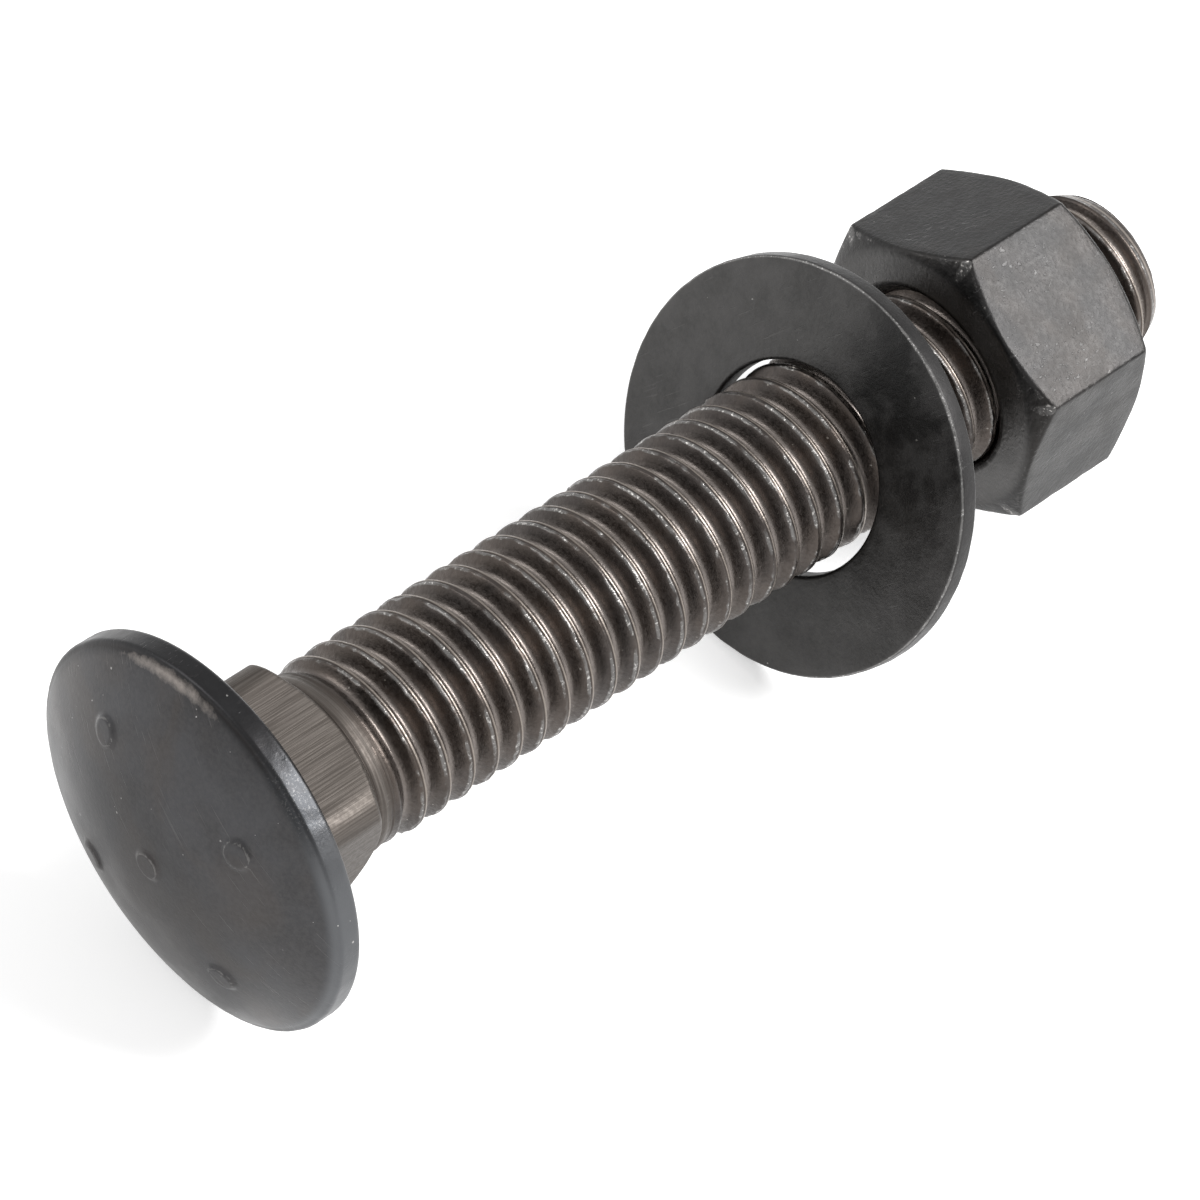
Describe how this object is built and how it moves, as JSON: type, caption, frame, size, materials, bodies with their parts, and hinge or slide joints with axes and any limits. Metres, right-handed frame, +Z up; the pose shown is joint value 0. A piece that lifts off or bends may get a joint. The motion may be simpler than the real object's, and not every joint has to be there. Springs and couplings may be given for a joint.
{
  "type": "carriage bolt",
  "caption": "Round-head square-neck bolt with a full-length thread, with a plain flat washer and a hex nut fitted.",
  "frame": {"origin": "middle of the flat face under the head, on the shank's axis", "axes": "+X along the bolt from the head to the nut, +Z up with the bolt lying on its side"},
  "size_m": [0.081, 0.0274, 0.0266],
  "materials": {
    "bolt_steel": "plain oiled black steel, worn bright on the crests",
    "washer_steel": "satin black oxide",
    "nut_steel": "satin black oxide, worn along the edges"
  },
  "bodies": {
    "bolt": {"bolt": "bolt_steel"},
    "washer": {"washer": "washer_steel"},
    "nut": {"nut": "nut_steel"}
  },
  "joints": [
    {"name": "washer_travel", "type": "slide", "parent": "bolt", "child": "washer", "axis": [1, 0, 0], "range_m": [-0.0367, 0.0147]},
    {"name": "nut_turn", "type": "hinge", "parent": "washer", "child": "nut", "pos_m": [0.0651, 0, 0], "axis": [1, 0, 0], "range_deg": [-6750, 2700]}
  ],
  "couplings": [
    {"joint": "washer_travel", "follows": "nut_turn", "m_per_rad": 0.00031099}
  ]
}
